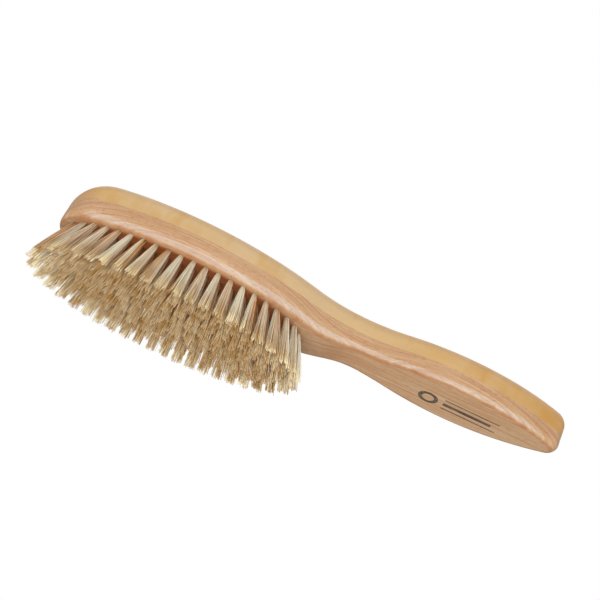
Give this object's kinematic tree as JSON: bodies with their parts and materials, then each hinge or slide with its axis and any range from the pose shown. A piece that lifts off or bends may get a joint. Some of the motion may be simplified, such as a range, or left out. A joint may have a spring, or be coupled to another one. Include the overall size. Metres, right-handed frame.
{
  "type": "clothes brush",
  "caption": "Long-handled clothes brush: oval head with splayed rows of pale natural bristle, two-wood body with a darker stock under a golden back.",
  "frame": {"origin": "on the floor that the bristle tips stand on, under the middle of the brush's length and width", "axes": "+X along the handle to the butt, +Z from the bristle tips up through the back, Y across the head"},
  "size_m": [0.2367, 0.0636, 0.0418],
  "materials": {
    "beech": "satin lacquer",
    "satinwood": "satin lacquer",
    "bristle": "natural hog bristle",
    "drawing_wire": "drawn"
  },
  "bodies": {
    "root": {"stock": "beech", "back": "satinwood", "tuft_row_1": "bristle", "tuft_row_2": "bristle", "tuft_row_3": "bristle", "tuft_row_4": "bristle", "tuft_row_5": "bristle", "tuft_row_6": "bristle", "tuft_row_7": "bristle", "tuft_row_8": "bristle", "draw_wire_1": "drawing_wire", "draw_wire_2": "drawing_wire", "draw_wire_3": "drawing_wire", "draw_wire_4": "drawing_wire", "draw_wire_5": "drawing_wire", "draw_wire_6": "drawing_wire", "draw_wire_7": "drawing_wire", "draw_wire_8": "drawing_wire"}
  },
  "joints": []
}
